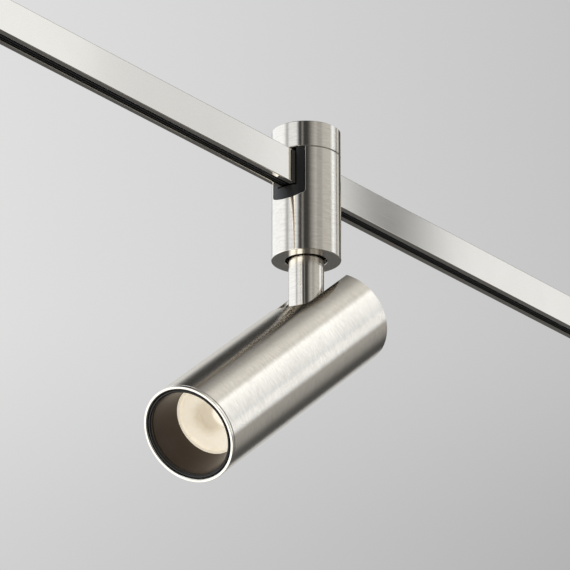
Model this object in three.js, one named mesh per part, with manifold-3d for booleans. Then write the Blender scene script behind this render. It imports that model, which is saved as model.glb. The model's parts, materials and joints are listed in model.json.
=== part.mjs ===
// Track spotlight: a cylindrical spot on a swivel stem, held by an adapter that clamps round a slim rail.
// Millimetres, +Z up, +X along the rail. The origin is on the adapter's axis, level with the rail's top.
// The lamp is turned and tilted to its rest pose: its mouth looks down and towards -X.
import * as THREE from "three";
import { mergeVertices } from "three/addons/utils/BufferGeometryUtils.js";
import Module from "manifold-3d";

const wasm = await Module();
wasm.setup();

// ---- Clearances ----
const fitGap = 0.3; // between two pieces that seat on each other
const railGap = 0.3; // all round the rail in the adapter
const holeGap = 0.3; // round a screw, pin or lead in its hole
const cutMargin = 2; // how far a cutting tool runs past the piece it cuts

// ---- Rail ----
const railLength = 600;
const railWidth = 10.8;
const railHeight = 17.7;
const railEdge = 0.4;
const channelWidth = 4.8;
const channelDepth = 12.4;
const insulatorRecess = 0.7;
const grooveOffset = 0.95; // from the rail's middle plane to each contact groove
const grooveWidth = 0.9;
const grooveDepth = 4;
const conductorThickness = 0.4;
const conductorHeight = 2.2;

// ---- Adapter ----
const adapterRadius = 17.5;
const adapterWall = 3;
const adapterEdge = 0.35;
const seamAboveRail = 2.1;
const capHeight = 13.8;
const insertWall = 3.8; // black insert beside the rail
const slotSag = 2.7; // how much lower the slot's floor is in its middle than at its corners
const insertFloor = 7; // black insert under the rail
const insertInset = 0.35; // the insert's face inside the shell's
const webThickness = 4.3; // shell between the slot and the bore
const boreHeight = 20.9;
const bottomThickness = 3;
const bladeThickness = 0.3;
const bladeLength = 8;
const leadRadius = 0.6;
const webHoleRadius = 2.6;

// ---- Clamp in the cap ----
const padRadius = 8.6;
const padThickness = 2.6;
const padNoseLength = 13;
const springRadius = 5.8;
const springWire = 1;
const springTurns = 3;
const springHeight = 4.4;
const capScrewRadius = 1.25;
const capScrewHeadRadius = 2.6;
const capScrewHeadHeight = 2.4;
const capScrewLength = 22;

// ---- Driver in the adapter ----
const boardThickness = 1.2;
const chokeSize = 8;
const chokeHeight = 4.4;
const capacitorRadius = 3;
const capacitorHeight = 6.8;

// ---- Swivel ----
const stemRadius = 8.9;
const stemHoleGap = 1.6; // the open ring round the stem in the adapter's bottom
const stemBore = 3.5;
const washerThickness = 1.2;
const collarThickness = 2.5;
const collarStep = 1.9; // from the bore's wall to the collar's rim
const stopReach = 1.2; // how far the stop stands in from the bore's wall
const stopWidth = 1.6;
const retainerThickness = 3;
const lampLeadRadius = 1.1;
const leadExitRadius = 2.2;

// ---- Lamp head: measured along its axis from the tilt pivot, + to the rear ----
const headRadius = 24.6;
const headWall = 1.6;
const pivotToFront = 113.2;
const pivotToRear = 38.2;
const bezelDepth = 1.6;
const stemSlotGap = 3.1; // each side of the stem in the head's slot
const slotEndGap = 0.7; // in front of the stem when the head is level
const headClearance = 1.6; // between the head's rear corner and the adapter as the head tilts past
const rearCoverThickness = 1.6;
const rearCoverInset = 1.6;

// ---- Optics ----
const ringSetBack = 0.4;
const ringDepth = 1.7;
const ringWidth = 1.5;
const snootFrontRadius = 21;
const snootRearRadius = 17.5;
const snootLength = 16.2;
const snootWall = 1.1;
const lensFlange = 2;
const lensFaceRadius = 16;
const lensStep = 0.4;
const lensDepth = 14;
const lensRearRadius = 6.5;
const lensPocketRadius = 3.6;
const lensPocketDepth = 4;
const chipRadius = 5;
const chipThickness = 1.1;
const ledBoardThickness = 1.6;

// ---- Heat sink and hinge ----
const sinkBase = 5;
const sinkLength = 58;
const sinkFlange = 3;
const sinkCore = 9;
const finCount = 14;
const finThickness = 1.7;
const sinkGap = 0.6;
const bracketBase = 3;
const cheekRadius = 9.5;
const cheekThickness = 3.4;
const tongueThickness = 8;
const tongueRadius = 8;
const shoulderGap = 1.5; // from the cheeks' round ends to the stem's full diameter
const tiltWasherThickness = 0.7;
const tiltWasherRadius = 7.6;
const pinRadius = 3;
const pinHeadRadius = 4.8;
const pinHeadThickness = 2;
const nutThickness = 2.4;
const bracketScrewRadius = 1.4;
const bracketScrewHead = 2.5;
const bracketScrewHeadHeight = 1.8;
const bracketScrewLength = 6;
const bracketScrewOffset = 15.5;
const grubRadius = 1.5;
const grubLength = 3.2;
const grubFromFront = 56;

// ---- Rest pose ----
const restPan = THREE.MathUtils.degToRad(-3);
const restTilt = THREE.MathUtils.degToRad(38);

// ---- Derived sizes: adapter ----
const slotHalfWidth = railWidth / 2 + railGap + insertWall + fitGap;

// ---- Derived levels: adapter, in Z ----
const railBottom = -railHeight;
const slotFloor = railBottom - insertFloor;
const boreTop = slotFloor - webThickness;
const boreFloor = boreTop - boreHeight;
const adapterBottom = boreFloor - bottomThickness;
const bodyTop = seamAboveRail - fitGap / 2;
const capBottom = seamAboveRail + fitGap / 2;
const capTop = seamAboveRail + capHeight;
const boreRadius = adapterRadius - adapterWall;
const stemHoleRadius = stemRadius + stemHoleGap;
const collarRadius = boreRadius - collarStep;
const lowerWasherTop = boreFloor + fitGap + washerThickness;
const collarBottom = lowerWasherTop + fitGap;
const collarTop = collarBottom + collarThickness;
const upperWasherBottom = collarTop + fitGap;
const retainerBottom = upperWasherBottom + washerThickness + fitGap;
const retainerTop = retainerBottom + retainerThickness;
const stemTop = retainerTop + fitGap;
const cheekMiddle = (slotHalfWidth + adapterRadius) / 2;

// ---- Derived sizes: head ----
const headBore = headRadius - headWall;
const headSlotHalf = stemRadius + stemSlotGap;
const headSlotEnd = -(stemRadius + slotEndGap);
const slotEdgeHeight = Math.sqrt(headRadius ** 2 - headSlotHalf ** 2);
const pivotDrop = Math.hypot(pivotToRear, slotEdgeHeight) + headClearance;
const pivotZ = adapterBottom - pivotDrop;
const shoulder = cheekRadius + shoulderGap;
const ringFront = -pivotToFront + ringSetBack;
const snootFront = ringFront + ringDepth + fitGap;
const snootRear = snootFront + snootLength;
const lensFront = snootRear + fitGap;
const lensRear = lensFront + lensDepth;
const chipFront = lensRear + fitGap;
const boardFront = chipFront + chipThickness + fitGap;
const sinkFront = boardFront + ledBoardThickness + fitGap;
const sinkRear = sinkFront + sinkLength;
const bracketFront = sinkRear + fitGap;
const bracketRear = bracketFront + bracketBase;
const innerRadius = headBore - fitGap;
const sinkRadius = headBore - sinkGap;
const washerInner = tongueThickness / 2 + fitGap;
const cheekInner = washerInner + tiltWasherThickness + fitGap;
const cheekOuter = cheekInner + cheekThickness;

// ---- Materials ----
const finishes = {
  nickel: { color: 0xb9b4ab, roughness: 0.28, metalness: 1 },
  black: { color: 0x1b1a19, roughness: 0.5, metalness: 0 },
  snoot: { color: 0x2a231e, roughness: 0.45, metalness: 0 },
  insulator: { color: 0x333331, roughness: 0.6, metalness: 0 },
  copper: { color: 0xb8754b, roughness: 0.3, metalness: 1 },
  steel: { color: 0x9a9a98, roughness: 0.35, metalness: 1 },
  aluminium: { color: 0x8e8f90, roughness: 0.45, metalness: 1 },
  board: { color: 0x2f5d3a, roughness: 0.6, metalness: 0 },
  lens: { color: 0xf4e8d2, roughness: 0.1, metalness: 0 },
  phosphor: { color: 0xf0c95a, roughness: 0.6, metalness: 0 },
  lead: { color: 0xd8d5cc, roughness: 0.6, metalness: 0 },
};

// ---- Geometry helpers ----
const roundSides = 64; // what shows from outside
const innerSides = 40;
const smallSides = 20;

function weld(geometry) {
  const bare = geometry.clone();
  bare.deleteAttribute("normal");
  bare.deleteAttribute("uv");
  return mergeVertices(bare, 1e-4);
}

function toSolid(geometry) {
  const welded = weld(geometry);
  const index = welded.index.array;
  const kept = [];
  for (let i = 0; i < index.length; i += 3) {
    const [a, b, c] = [index[i], index[i + 1], index[i + 2]];
    if (a !== b && b !== c && c !== a) kept.push(a, b, c);
  }
  return new wasm.Manifold(new wasm.Mesh({
    numProp: 3,
    vertProperties: new Float32Array(welded.attributes.position.array),
    triVerts: new Uint32Array(kept),
  }));
}

function toGeometry(solid) {
  const mesh = solid.getMesh();
  const geometry = new THREE.BufferGeometry();
  geometry.setAttribute("position", new THREE.BufferAttribute(mesh.vertProperties, 3));
  geometry.setIndex(new THREE.BufferAttribute(mesh.triVerts, 1));
  geometry.computeVertexNormals();
  return geometry;
}

function join(...geometries) {
  return toGeometry(geometries.map(toSolid).reduce((whole, piece) => whole.add(piece)));
}

function cut(geometry, ...tools) {
  return toGeometry(tools.map(toSolid).reduce((whole, tool) => whole.subtract(tool), toSolid(geometry)));
}

function keepInside(geometry, other) {
  return toGeometry(toSolid(geometry).intersect(toSolid(other)));
}

// A turned piece about Z: its profile is a closed loop of [radius, z], anticlockwise.
function turned(profile, sides = roundSides) {
  const points = [...profile, profile[0]].map(([radius, z]) => new THREE.Vector2(radius, z));
  const start = profile[0][0] === 0 ? points.slice(0, -1) : points;
  return new THREE.LatheGeometry(start, sides).rotateX(Math.PI / 2);
}

function rod(radius, low, high, sides = smallSides) {
  return new THREE.CylinderGeometry(radius, radius, high - low, sides)
    .rotateX(Math.PI / 2)
    .translate(0, 0, (low + high) / 2);
}

function ring(inner, outer, low, high, sides = innerSides) {
  return turned([[inner, low], [outer, low], [outer, high], [inner, high]], sides);
}

function block(xLow, xHigh, yLow, yHigh, zLow, zHigh) {
  return new THREE.BoxGeometry(xHigh - xLow, yHigh - yLow, zHigh - zLow)
    .translate((xLow + xHigh) / 2, (yLow + yHigh) / 2, (zLow + zHigh) / 2);
}

function extruded(shape, depth, curveSegments = 12) {
  return new THREE.ExtrudeGeometry(shape, { depth, bevelEnabled: false, curveSegments });
}

// Turns a piece made about Z so that it lies about X, with its +Z end towards +X.
function alongX(geometry) {
  return geometry.rotateY(Math.PI / 2);
}

// Turns a piece made about Z so that it lies about Y, with its +Z end towards +Y.
function alongY(geometry) {
  return geometry.rotateX(-Math.PI / 2);
}

// Stands an extrusion drawn in (y, z) up along X, centred on the origin.
function sectionAlongX(shape, length) {
  return extruded(shape, length)
    .translate(0, 0, -length / 2)
    .rotateX(Math.PI / 2)
    .rotateZ(Math.PI / 2);
}

// ---- Scene graph ----
const fixture = new THREE.Group();
const adapter = new THREE.Group();
const swivel = new THREE.Group();
const head = new THREE.Group();
fixture.add(adapter);
fixture.add(swivel);
swivel.add(head);
swivel.rotation.z = restPan;
head.position.z = pivotZ;
head.rotation.y = -restTilt;

function addPiece(group, name, geometry, finish) {
  const mesh = new THREE.Mesh(geometry, new THREE.MeshStandardMaterial(finishes[finish]));
  mesh.name = name;
  group.add(mesh);
  return mesh;
}

const sideNames = [["left", 1], ["right", -1]];

// ---- Rail: an upside-down channel with chamfered edges, a black insulator and two conductors ----
function railSection() {
  const half = railWidth / 2;
  const channel = channelWidth / 2;
  const shape = new THREE.Shape();
  shape.moveTo(-half + railEdge, 0);
  shape.lineTo(-half, -railEdge);
  shape.lineTo(-half, railBottom + railEdge);
  shape.lineTo(-half + railEdge, railBottom);
  shape.lineTo(-channel - railEdge, railBottom);
  shape.lineTo(-channel, railBottom + railEdge);
  shape.lineTo(-channel, railBottom + channelDepth);
  shape.lineTo(channel, railBottom + channelDepth);
  shape.lineTo(channel, railBottom + railEdge);
  shape.lineTo(channel + railEdge, railBottom);
  shape.lineTo(half - railEdge, railBottom);
  shape.lineTo(half, railBottom + railEdge);
  shape.lineTo(half, -railEdge);
  shape.lineTo(half - railEdge, 0);
  shape.closePath();
  return shape;
}

function insulatorSection() {
  const half = channelWidth / 2 - fitGap;
  const face = railBottom + insulatorRecess;
  const shape = new THREE.Shape();
  shape.moveTo(-half, face);
  for (const middle of [-grooveOffset, grooveOffset]) {
    shape.lineTo(middle - grooveWidth / 2, face);
    shape.lineTo(middle - grooveWidth / 2, face + grooveDepth);
    shape.lineTo(middle + grooveWidth / 2, face + grooveDepth);
    shape.lineTo(middle + grooveWidth / 2, face);
  }
  shape.lineTo(half, face);
  shape.lineTo(half, railBottom + channelDepth - fitGap);
  shape.lineTo(-half, railBottom + channelDepth - fitGap);
  shape.closePath();
  return shape;
}

addPiece(fixture, "track_rail", sectionAlongX(railSection(), railLength), "nickel");
addPiece(fixture, "track_insulator", sectionAlongX(insulatorSection(), railLength), "insulator");

const conductorTop = railBottom + insulatorRecess + grooveDepth - fitGap;
const conductorBottom = conductorTop - conductorHeight;
for (const [side, sign] of sideNames) {
  const middle = sign * grooveOffset;
  const strip = block(
    -railLength / 2, railLength / 2,
    middle - conductorThickness / 2, middle + conductorThickness / 2,
    conductorBottom, conductorTop,
  );
  addPiece(fixture, `track_conductor_${side}`, strip, "copper");
}

// ---- Adapter shell ----
function slotShape(half, floor, top) {
  const sagRadius = (slotHalfWidth ** 2 + slotSag ** 2) / (2 * slotSag);
  const reach = Math.asin(half / sagRadius);
  const shape = new THREE.Shape();
  shape.absarc(0, floor + sagRadius, sagRadius, -Math.PI / 2 - reach, -Math.PI / 2 + reach, false);
  shape.lineTo(half, top);
  shape.lineTo(-half, top);
  shape.closePath();
  return shape;
}

const cheekScrew = (radius, low, high, sign) => rod(radius, low, high).translate(0, sign * cheekMiddle, 0);
const capScrewTop = capTop - fitGap;
const capScrewTip = capScrewTop - capScrewLength;

function adapterBody() {
  const shell = turned([
    [stemHoleRadius, adapterBottom],
    [adapterRadius - adapterEdge, adapterBottom],
    [adapterRadius, adapterBottom + adapterEdge],
    [adapterRadius, bodyTop - adapterEdge],
    [adapterRadius - adapterEdge, bodyTop],
    [webHoleRadius, bodyTop],
    [webHoleRadius, boreTop],
    [boreRadius, boreTop],
    [boreRadius, boreFloor],
    [stemHoleRadius, boreFloor],
  ]);
  const slotTop = bodyTop + cutMargin;
  const slotLength = 2 * (adapterRadius + cutMargin);
  const slot = sectionAlongX(slotShape(slotHalfWidth, slotFloor, slotTop), slotLength);
  const holes = sideNames.map(([, sign]) => (
    cheekScrew(capScrewRadius + holeGap, capScrewTip - cutMargin, slotTop, sign)
  ));
  return cut(shell, slot, ...holes);
}

addPiece(adapter, "adapter_body", adapterBody(), "nickel");

// ---- Black insert that lines the slot and carries the contact blades ----
function adapterInsert() {
  const half = slotHalfWidth - fitGap;
  const length = 2 * (adapterRadius + cutMargin);
  const filling = sectionAlongX(slotShape(half, slotFloor + fitGap, bodyTop), length);
  const envelope = rod(adapterRadius - insertInset, slotFloor - cutMargin, bodyTop + cutMargin, roundSides);
  const passageHalf = railWidth / 2 + railGap;
  const passage = block(
    -length, length,
    -passageHalf, passageHalf,
    railBottom - railGap, bodyTop + cutMargin,
  );
  const bladeSlots = sideNames.map(([, sign]) => block(
    -bladeLength / 2 - fitGap, bladeLength / 2 + fitGap,
    sign * grooveOffset - grooveWidth / 2, sign * grooveOffset + grooveWidth / 2,
    slotFloor - cutMargin, railBottom,
  ));
  return cut(keepInside(filling, envelope), passage, ...bladeSlots);
}

addPiece(adapter, "adapter_insert", adapterInsert(), "black");

for (const [side, sign] of sideNames) {
  const middle = sign * grooveOffset;
  const blade = block(
    -bladeLength / 2, bladeLength / 2,
    middle - bladeThickness / 2, middle + bladeThickness / 2,
    slotFloor + fitGap, conductorBottom - fitGap,
  );
  addPiece(adapter, `contact_blade_${side}`, blade, "copper");
  const lead = rod(leadRadius, boreTop - fitGap, slotFloor, smallSides / 2).translate(0, middle, 0);
  addPiece(adapter, `supply_lead_${side}`, lead, "lead");
}

// ---- Cap with the clamp that presses on the rail's top ----
const pocketRadius = padRadius + fitGap;
const padTop = capBottom + padThickness;
const springBottom = padTop + fitGap;
const springTop = springBottom + springHeight;
const pocketTop = springTop + fitGap;

function adapterCap() {
  const cup = turned([
    [0, pocketTop],
    [pocketRadius, pocketTop],
    [pocketRadius, capBottom],
    [adapterRadius - adapterEdge, capBottom],
    [adapterRadius, capBottom + adapterEdge],
    [adapterRadius, capTop - adapterEdge],
    [adapterRadius - adapterEdge, capTop],
    [0, capTop],
  ]);
  const sinkDepth = capScrewHeadHeight + 2 * fitGap;
  const holes = sideNames.flatMap(([, sign]) => [
    cheekScrew(capScrewRadius + holeGap, capBottom - cutMargin, capTop + cutMargin, sign),
    cheekScrew(capScrewHeadRadius + holeGap, capTop - sinkDepth, capTop + cutMargin, sign),
  ]);
  return cut(cup, ...holes);
}

function clampPad() {
  const noseHalf = railWidth / 2 - fitGap;
  const nose = block(-padNoseLength / 2, padNoseLength / 2, -noseHalf, noseHalf, fitGap, padTop - fitGap);
  const roundNose = keepInside(nose, rod(padRadius, 0, padTop, innerSides));
  return join(rod(padRadius, capBottom, padTop, innerSides), roundNose);
}

class Helix extends THREE.Curve {
  getPoint(t) {
    const angle = 2 * Math.PI * springTurns * t;
    const rise = springBottom + springWire / 2 + (springHeight - springWire) * t;
    return new THREE.Vector3(springRadius * Math.cos(angle), springRadius * Math.sin(angle), rise);
  }
}

function clampSpring() {
  const wire = new THREE.Shape().absarc(0, 0, springWire / 2, 0, 2 * Math.PI, false);
  return new THREE.ExtrudeGeometry(wire, {
    steps: springTurns * 12,
    curveSegments: 3,
    extrudePath: new Helix(),
  });
}

// A socket-head screw about Z with its head up.
function socketScrew(radius, headRadius, headHeight, length, top) {
  const socket = headRadius * 0.55;
  const headBottom = top - headHeight;
  const socketFloor = top - headHeight * 0.6;
  return turned([
    [0, top - length],
    [radius, top - length],
    [radius, headBottom],
    [headRadius, headBottom],
    [headRadius, top],
    [socket, top],
    [socket, socketFloor],
    [0, socketFloor],
  ], smallSides);
}

addPiece(adapter, "adapter_cap", adapterCap(), "nickel");
addPiece(adapter, "clamp_pad", clampPad(), "black");
addPiece(adapter, "clamp_spring", clampSpring(), "steel");
for (const [side, sign] of sideNames) {
  const screw = socketScrew(capScrewRadius, capScrewHeadRadius, capScrewHeadHeight, capScrewLength, capScrewTop)
    .translate(0, sign * cheekMiddle, 0);
  addPiece(adapter, `cap_screw_${side}`, screw, "steel");
}

// ---- Driver board in the top of the bore ----
const boardTop = boreTop - 2 * fitGap;
const boardBottom = boardTop - boardThickness;
const partsTop = boardBottom - fitGap;
addPiece(adapter, "driver_board", rod(boreRadius - fitGap, boardBottom, boardTop, innerSides), "board");
addPiece(adapter, "driver_choke", block(
  -chokeSize, 0,
  -chokeSize / 2, chokeSize / 2,
  partsTop - chokeHeight, partsTop,
), "black");
addPiece(adapter, "driver_capacitor", rod(capacitorRadius, partsTop - capacitorHeight, partsTop)
  .translate(capacitorRadius + fitGap + 1, 0, 0), "steel");

// ---- Swivel bearing in the bottom of the bore ----
const washerRim = boreRadius - fitGap;
const bearingBore = stemRadius + fitGap;
addPiece(adapter, "swivel_washer_lower", ring(bearingBore, washerRim, boreFloor + fitGap, lowerWasherTop), "black");
addPiece(adapter, "swivel_washer_upper", ring(
  bearingBore, washerRim, upperWasherBottom, upperWasherBottom + washerThickness,
), "black");
addPiece(adapter, "swivel_retainer", ring(bearingBore, washerRim, retainerBottom, retainerTop), "steel");
addPiece(adapter, "swivel_stop", block(
  -washerRim, -washerRim + stopReach,
  -stopWidth / 2, stopWidth / 2,
  collarBottom + fitGap, collarTop - fitGap,
), "steel");

// ---- Stem: a tube with a collar at its top and a flat tongue round the tilt pivot ----
function stem() {
  const shoulderZ = pivotZ + shoulder;
  const tube = rod(stemRadius, shoulderZ, stemTop, roundSides);
  const half = tongueThickness / 2;
  const web = block(-tongueRadius, tongueRadius, -half, half, pivotZ, shoulderZ + fitGap);
  const eye = alongY(rod(tongueRadius, -half, half, innerSides)).translate(0, 0, pivotZ);
  const bore = rod(stemBore, shoulderZ + leadExitRadius, stemTop + cutMargin);
  const exit = alongX(rod(leadExitRadius, -stemRadius - cutMargin, 0))
    .translate(0, 0, shoulderZ + 2 * leadExitRadius);
  const pinHole = alongY(rod(pinRadius + holeGap, -stemRadius, stemRadius)).translate(0, 0, pivotZ);
  return cut(join(tube, web, eye), bore, exit, pinHole);
}

function stemCollar() {
  const rim = ring(bearingBore, collarRadius, collarBottom, collarTop);
  const lug = block(
    collarRadius - 1, washerRim - fitGap,
    -stopWidth / 2, stopWidth / 2,
    collarBottom, collarTop,
  );
  return join(rim, lug);
}

addPiece(swivel, "stem", stem(), "nickel");
addPiece(swivel, "stem_collar", stemCollar(), "steel");
for (const [side, sign] of sideNames) {
  const low = pivotZ + shoulder + leadExitRadius + fitGap;
  const lead = rod(lampLeadRadius, low, stemTop, smallSides / 2)
    .translate(0, sign * (lampLeadRadius + fitGap), 0);
  addPiece(swivel, `lamp_lead_${side}`, lead, "lead");
}

// ---- Head housing: a tube with a slot for the stem, open at the rear ----
function stemSlotTool(depthLow, depthHigh, end) {
  const shape = new THREE.Shape();
  const centre = end + headSlotHalf;
  shape.absarc(centre, 0, headSlotHalf, Math.PI / 2, 3 * Math.PI / 2, false);
  shape.lineTo(pivotToRear + cutMargin, -headSlotHalf);
  shape.lineTo(pivotToRear + cutMargin, headSlotHalf);
  shape.closePath();
  return extruded(shape, depthHigh - depthLow, 16).translate(0, 0, depthLow);
}

const grubX = -pivotToFront + grubFromFront;
const radialHole = (radius, inner, outer) => rod(radius, -outer, -inner).translate(grubX, 0, 0);

function headHousing() {
  const front = -pivotToFront + bezelDepth + fitGap;
  const edge = fitGap;
  const tube = alongX(turned([
    [headBore, front],
    [headRadius - edge, front],
    [headRadius, front + edge],
    [headRadius, pivotToRear - edge],
    [headRadius - edge, pivotToRear],
    [headBore, pivotToRear],
  ]));
  const slot = stemSlotTool(0, headRadius + cutMargin, headSlotEnd);
  const grubHole = radialHole(grubRadius + holeGap, headBore - cutMargin, headRadius + cutMargin);
  return cut(tube, slot, grubHole);
}

function frontBezel() {
  const edge = fitGap;
  return alongX(turned([
    [headBore, -pivotToFront + edge],
    [headBore + edge, -pivotToFront],
    [headRadius - edge, -pivotToFront],
    [headRadius, -pivotToFront + edge],
    [headRadius, -pivotToFront + bezelDepth],
    [headBore, -pivotToFront + bezelDepth],
  ]));
}

addPiece(head, "head_housing", headHousing(), "nickel");
addPiece(head, "front_bezel", frontBezel(), "nickel");

// ---- Optics, front to rear ----
function retainingRing() {
  const inner = innerRadius - ringWidth;
  const bevel = ringWidth / 3;
  return alongX(turned([
    [inner, ringFront + bevel],
    [inner + bevel, ringFront],
    [innerRadius, ringFront],
    [innerRadius, ringFront + ringDepth],
    [inner, ringFront + ringDepth],
  ]));
}

function snoot() {
  const flange = snootFront + snootWall;
  return alongX(turned([
    [snootFrontRadius, snootFront],
    [innerRadius, snootFront],
    [innerRadius, flange],
    [snootFrontRadius + snootWall, flange],
    [snootRearRadius + snootWall, snootRear],
    [snootRearRadius, snootRear],
  ]));
}

function lens() {
  const rim = snootRearRadius + fitGap;
  const pocket = lensRear - lensPocketDepth;
  return alongX(turned([
    [0, lensFront + lensStep],
    [lensFaceRadius, lensFront + lensStep],
    [lensFaceRadius, lensFront],
    [rim, lensFront],
    [rim, lensFront + lensFlange],
    [lensFaceRadius, lensFront + lensFlange],
    [lensRearRadius, lensRear],
    [lensPocketRadius, lensRear],
    [lensPocketRadius, pocket],
    [0, pocket],
  ]));
}

addPiece(head, "retaining_ring", retainingRing(), "black");
addPiece(head, "snoot", snoot(), "snoot");
addPiece(head, "lens", lens(), "lens");
const holderBore = snootRearRadius + 2 * fitGap;
const holder = alongX(ring(holderBore, innerRadius, lensFront, boardFront - fitGap));
addPiece(head, "lens_holder", holder, "black");
addPiece(head, "led_chip", alongX(rod(chipRadius, chipFront, chipFront + chipThickness)), "phosphor");
const ledBoard = alongX(rod(innerRadius - 1, boardFront, boardFront + ledBoardThickness, innerSides));
addPiece(head, "led_board", ledBoard, "aluminium");

// ---- Heat sink: a base and a rear flange joined by a core with radial fins ----
const bracketScrewSpots = sideNames.map(([side, sign]) => [side, sign * bracketScrewOffset]);
const bracketScrewTop = bracketRear + fitGap + bracketScrewHeadHeight;

function heatSink() {
  const fins = [];
  for (let i = 0; i < finCount; i += 1) {
    const angle = ((i + 0.5) / finCount) * 2 * Math.PI;
    const fin = block(
      sinkFront + sinkBase / 2, sinkRear - sinkFlange / 2,
      -finThickness / 2, finThickness / 2,
      sinkCore / 2, sinkRadius - fitGap,
    );
    fins.push(fin.rotateX(angle));
  }
  const core = alongX(rod(sinkCore, sinkFront + sinkBase / 2, sinkRear - sinkFlange / 2));
  const base = alongX(rod(sinkRadius, sinkFront, sinkFront + sinkBase, innerSides));
  const flange = alongX(rod(sinkRadius, sinkRear - sinkFlange, sinkRear, innerSides));
  const tips = bracketScrewSpots.map(([, y]) => (
    alongX(rod(bracketScrewRadius + holeGap, bracketScrewTop - bracketScrewLength - cutMargin, bracketRear))
      .translate(0, y, 0)
  ));
  return cut(join(base, core, flange, ...fins), ...tips);
}

addPiece(head, "heat_sink", heatSink(), "aluminium");

// ---- Hinge bracket with two cheeks, and the tilt pivot through them ----
function cheek(sign) {
  const shape = new THREE.Shape();
  shape.absarc(0, 0, cheekRadius, -Math.PI / 2, Math.PI / 2, false);
  shape.lineTo(bracketFront + bracketBase / 2, cheekRadius);
  shape.lineTo(bracketFront + bracketBase / 2, -cheekRadius);
  shape.closePath();
  const plate = extruded(shape, cheekThickness, 16).rotateX(Math.PI / 2);
  return plate.translate(0, sign > 0 ? cheekOuter : -cheekInner, 0);
}

function hingeBracket() {
  const base = alongX(rod(sinkRadius, bracketFront, bracketRear, innerSides));
  const pinHole = alongY(rod(pinRadius + holeGap, -headRadius, headRadius));
  const wireHole = alongX(rod(stemBore, bracketFront - cutMargin, bracketRear + cutMargin));
  const screwHoles = bracketScrewSpots.map(([, y]) => (
    alongX(rod(bracketScrewRadius + holeGap, bracketFront - cutMargin, bracketRear + cutMargin))
      .translate(0, y, 0)
  ));
  return cut(join(base, cheek(1), cheek(-1)), pinHole, wireHole, ...screwHoles);
}

const pinEnd = cheekOuter + fitGap;

function pivotPin() {
  const nutSide = pinEnd + nutThickness;
  return alongY(turned([
    [0, -pinEnd - pinHeadThickness],
    [pinHeadRadius, -pinEnd - pinHeadThickness],
    [pinHeadRadius, -pinEnd],
    [pinRadius, -pinEnd],
    [pinRadius, nutSide],
    [0, nutSide],
  ], smallSides));
}

function pivotNut() {
  const blank = rod(pinHeadRadius, pinEnd, pinEnd + nutThickness, 6);
  return alongY(cut(blank, rod(pinRadius + holeGap, pinEnd - cutMargin, pinEnd + nutThickness + cutMargin)));
}

addPiece(head, "hinge_bracket", hingeBracket(), "black");
for (const [side, sign] of sideNames) {
  const high = washerInner + tiltWasherThickness;
  const washer = alongY(ring(pinRadius + holeGap, tiltWasherRadius, washerInner, high, smallSides));
  addPiece(head, `tilt_washer_${side}`, sign > 0 ? washer : washer.rotateZ(Math.PI), "steel");
}
addPiece(head, "pivot_pin", pivotPin(), "steel");
addPiece(head, "pivot_nut", pivotNut(), "steel");
for (const [side, y] of bracketScrewSpots) {
  const screw = alongX(socketScrew(
    bracketScrewRadius, bracketScrewHead, bracketScrewHeadHeight, bracketScrewLength, bracketScrewTop,
  )).translate(0, y, 0);
  addPiece(head, `bracket_screw_${side}`, screw, "steel");
}

// ---- Rear cover: a disc with the stem's slot in it, and the grub screw that holds the insides ----
function rearCover() {
  const high = pivotToRear - rearCoverInset;
  const low = high - rearCoverThickness;
  const disc = alongX(rod(innerRadius, low, high, roundSides));
  const round = alongX(rod(headSlotHalf, low - cutMargin, high + cutMargin, roundSides));
  const open = block(
    low - cutMargin, high + cutMargin,
    -headSlotHalf, headSlotHalf,
    0, headRadius,
  );
  return cut(disc, round, open);
}

addPiece(head, "rear_cover", rearCover(), "black");
const grubOuter = headRadius - fitGap;
addPiece(head, "housing_grub_screw", rod(grubRadius, -grubOuter, -grubOuter + grubLength, smallSides)
  .translate(grubX, 0, 0), "steel");

export default fixture;
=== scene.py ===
"""Track spotlight: nickel shells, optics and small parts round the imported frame, in a soft studio."""
import json
import math

import bmesh
import bpy
from mathutils import Matrix, Vector

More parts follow.
